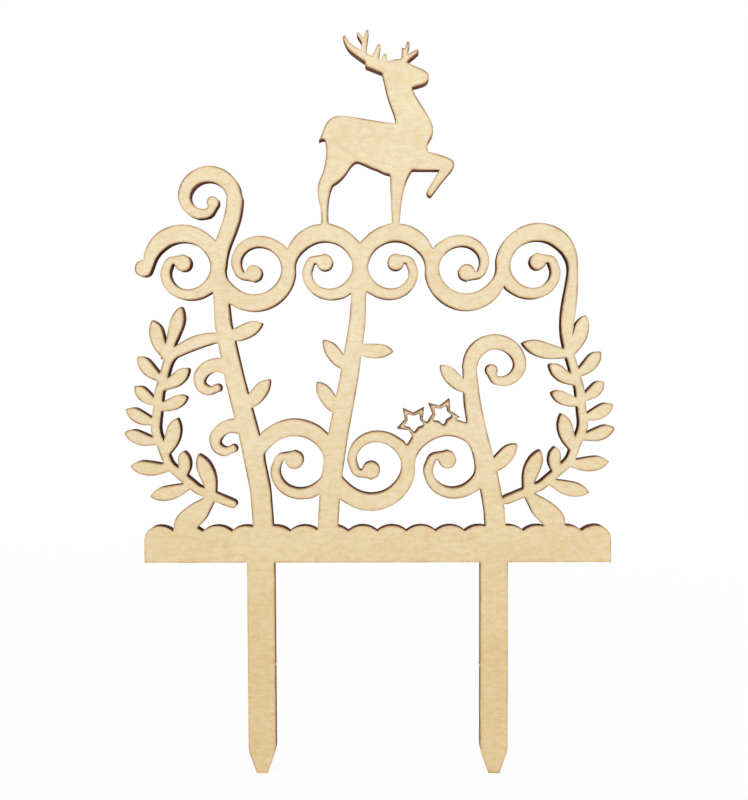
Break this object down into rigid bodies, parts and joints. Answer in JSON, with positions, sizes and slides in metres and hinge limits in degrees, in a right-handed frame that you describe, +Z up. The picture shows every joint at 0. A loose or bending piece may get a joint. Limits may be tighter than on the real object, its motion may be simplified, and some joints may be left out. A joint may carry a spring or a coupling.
{
  "type": "cake topper",
  "caption": "Flat laser-cut plywood cake topper: a reindeer on a running scroll between leafy branches, above a scalloped bar with pointed stakes that push into the cake.",
  "frame": {"origin": "middle of the bar's underside, at the middle of the sheet's thickness", "axes": "+X along the bar, to the right as seen from the front; +Z up; the front face looks towards -Y"},
  "size_m": [0.1188, 0.003, 0.1799],
  "materials": {
    "front_veneer": "bare sanded veneer with a scorched rim",
    "core_ply": "edge charred by the laser",
    "back_veneer": "bare sanded veneer with a scorched rim"
  },
  "bodies": {
    "root": {"front_veneer": "front_veneer", "core_ply": "core_ply", "back_veneer": "back_veneer"}
  },
  "joints": []
}
